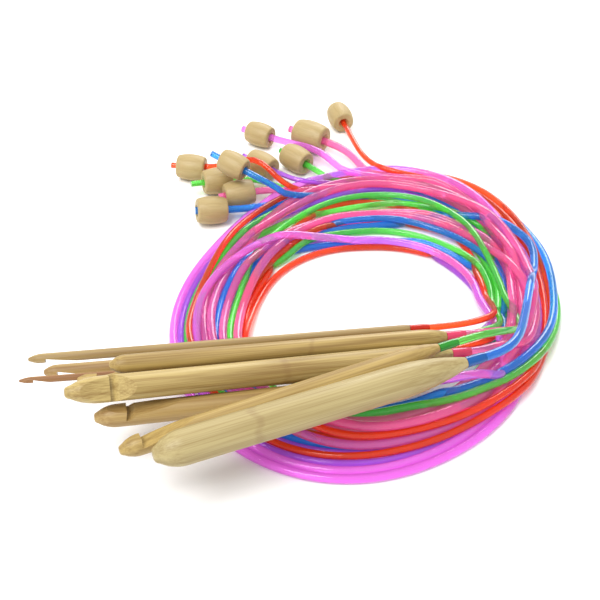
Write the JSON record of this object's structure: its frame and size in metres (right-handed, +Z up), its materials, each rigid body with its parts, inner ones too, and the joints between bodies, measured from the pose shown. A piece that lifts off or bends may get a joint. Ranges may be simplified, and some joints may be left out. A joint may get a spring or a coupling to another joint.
{
  "type": "cabled afghan crochet hook set",
  "caption": "Bamboo crochet hooks, each with a long flexible plastic tube ending in a wooden bead; the tubes are wound together in one loose coil.",
  "frame": {"origin": "on the table under the middle of the wooden pieces and tube ends (the hooks, beads and stretched tube ends), measured without the free tubes", "axes": "+Z up from the table; +X from the hook tips towards the tube ends; +Y from the hooks towards the beads"},
  "size_m": [0.1685, 0.2065, 0.0313],
  "materials": {
    "bamboo": "satin",
    "bead_wood": "satin",
    "tube_mixed": "gloss",
    "tube_violet": "gloss",
    "tube_red": "gloss",
    "tube_green": "gloss",
    "tube_blue": "gloss",
    "tube_pink": "gloss",
    "tube_magenta": "gloss"
  },
  "bodies": {
    "coil": {"cord_coil": "tube_mixed", "sleeve_2mm": "tube_violet", "lead_2mm": "tube_violet", "tail_2mm": "tube_violet", "sleeve_3mm": "tube_red", "lead_3mm": "tube_red", "tail_3mm": "tube_red", "sleeve_3_5mm": "tube_red", "lead_3_5mm": "tube_red", "tail_3_5mm": "tube_red", "sleeve_4mm": "tube_green", "lead_4mm": "tube_green", "tail_4mm": "tube_green", "sleeve_4_5mm": "tube_blue", "lead_4_5mm": "tube_blue", "tail_4_5mm": "tube_blue", "sleeve_5_5mm": "tube_pink", "lead_5_5mm": "tube_pink", "tail_5_5mm": "tube_pink", "sleeve_6mm": "tube_green", "lead_6mm": "tube_green", "tail_6mm": "tube_green", "sleeve_6_5mm": "tube_magenta", "lead_6_5mm": "tube_magenta", "tail_6_5mm": "tube_magenta", "sleeve_7_5mm": "tube_pink", "lead_7_5mm": "tube_pink", "tail_7_5mm": "tube_pink", "sleeve_10mm": "tube_blue", "lead_10mm": "tube_blue", "tail_10mm": "tube_blue"},
    "hook_2mm": {"hook_2mm": "bamboo"},
    "bead_2mm": {"bead_2mm": "bead_wood"},
    "hook_3mm": {"hook_3mm": "bamboo"},
    "bead_3mm": {"bead_3mm": "bead_wood"},
    "hook_3_5mm": {"hook_3_5mm": "bamboo"},
    "bead_3_5mm": {"bead_3_5mm": "bead_wood"},
    "hook_4mm": {"hook_4mm": "bamboo"},
    "bead_4mm": {"bead_4mm": "bead_wood"},
    "hook_4_5mm": {"hook_4_5mm": "bamboo"},
    "bead_4_5mm": {"bead_4_5mm": "bead_wood"},
    "hook_5_5mm": {"hook_5_5mm": "bamboo"},
    "bead_5_5mm": {"bead_5_5mm": "bead_wood"},
    "hook_6mm": {"hook_6mm": "bamboo"},
    "bead_6mm": {"bead_6mm": "bead_wood"},
    "hook_6_5mm": {"hook_6_5mm": "bamboo"},
    "bead_6_5mm": {"bead_6_5mm": "bead_wood"},
    "hook_7_5mm": {"hook_7_5mm": "bamboo"},
    "bead_7_5mm": {"bead_7_5mm": "bead_wood"},
    "hook_10mm": {"hook_10mm": "bamboo"},
    "bead_10mm": {"bead_10mm": "bead_wood"}
  },
  "joints": [
    {"name": "spin_2mm", "type": "hinge", "parent": "coil", "child": "hook_2mm", "pos_m": [0.04433, -0.04693, 0.00793], "axis": [0.9768, 0.1916, -0.0958], "range_deg": [-90, 90]},
    {"name": "slide_2mm", "type": "slide", "parent": "coil", "child": "bead_2mm", "axis": [0.7559, -0.6547, 0], "range_m": [-0.0038, 0.002]},
    {"name": "spin_3mm", "type": "hinge", "parent": "coil", "child": "hook_3mm", "pos_m": [0.04784, -0.03853, 0.01059], "axis": [0.9868, 0.1563, -0.0419], "range_deg": [-90, 90]},
    {"name": "slide_3mm", "type": "slide", "parent": "coil", "child": "bead_3mm", "axis": [0.2656, -0.9641, 0], "range_m": [-0.0016, 0.002]},
    {"name": "spin_3_5mm", "type": "hinge", "parent": "coil", "child": "hook_3_5mm", "pos_m": [0.05132, -0.04797, 0.00971], "axis": [0.9764, 0.1969, -0.0889], "range_deg": [-90, 90]},
    {"name": "slide_3_5mm", "type": "slide", "parent": "coil", "child": "bead_3_5mm", "axis": [0.9866, -0.1633, 0], "range_m": [-0.002, 0.001]},
    {"name": "spin_4mm", "type": "hinge", "parent": "coil", "child": "hook_4mm", "pos_m": [0.05407, -0.04231, 0.00956], "axis": [0.9829, 0.1751, -0.0576], "range_deg": [-90, 90]},
    {"name": "slide_4mm", "type": "slide", "parent": "coil", "child": "bead_4mm", "axis": [0.7254, -0.6884, 0], "range_m": [-0.0024, 0.002]},
    {"name": "spin_4_5mm", "type": "hinge", "parent": "coil", "child": "hook_4_5mm", "pos_m": [0.05211, -0.0515, 0.00732], "axis": [0.9577, 0.2459, -0.1495], "range_deg": [-90, 90]},
    {"name": "slide_4_5mm", "type": "slide", "parent": "coil", "child": "bead_4_5mm", "axis": [0.853, -0.4885, -0.184], "range_m": [-0.004, 0.002]},
    {"name": "spin_5_5mm", "type": "hinge", "parent": "coil", "child": "hook_5_5mm", "pos_m": [0.05822, -0.04532, 0.01392], "axis": [0.9661, 0.2319, -0.1132], "range_deg": [-90, 90]},
    {"name": "slide_5_5mm", "type": "slide", "parent": "coil", "child": "bead_5_5mm", "axis": [0.9527, 0.304, 0], "range_m": [-0.0004, 0.0008]},
    {"name": "spin_6mm", "type": "hinge", "parent": "coil", "child": "hook_6mm", "pos_m": [0.05407, -0.05776, 0.02124], "axis": [0.9191, 0.3939, 0.0087], "range_deg": [-90, 90]},
    {"name": "slide_6mm", "type": "slide", "parent": "coil", "child": "bead_6mm", "axis": [0.9437, 0.3213, -0.0785], "range_m": [-0.004, 0.0015]},
    {"name": "spin_6_5mm", "type": "hinge", "parent": "coil", "child": "hook_6_5mm", "pos_m": [0.0443, -0.06436, 0.01282], "axis": [0.9758, 0.2074, -0.0698], "range_deg": [-90, 90]},
    {"name": "slide_6_5mm", "type": "slide", "parent": "coil", "child": "bead_6_5mm", "axis": [0.8695, -0.4939, 0], "range_m": [-0.0024, 0.002]},
    {"name": "spin_7_5mm", "type": "hinge", "parent": "coil", "child": "hook_7_5mm", "pos_m": [0.05931, -0.05168, 0.01267], "axis": [0.9533, 0.268, -0.1392], "range_deg": [-90, 90]},
    {"name": "slide_7_5mm", "type": "slide", "parent": "coil", "child": "bead_7_5mm", "axis": [0.848, -0.5299, 0], "range_m": [-0.0028, 0.002]},
    {"name": "spin_10mm", "type": "hinge", "parent": "coil", "child": "hook_10mm", "pos_m": [0.06132, -0.06414, 0.02168], "axis": [0.9223, 0.3858, -0.0227], "range_deg": [-90, 90]},
    {"name": "slide_10mm", "type": "slide", "parent": "coil", "child": "bead_10mm", "axis": [0.9609, 0.2396, -0.1392], "range_m": [-0.0015, 0.0003]}
  ]
}
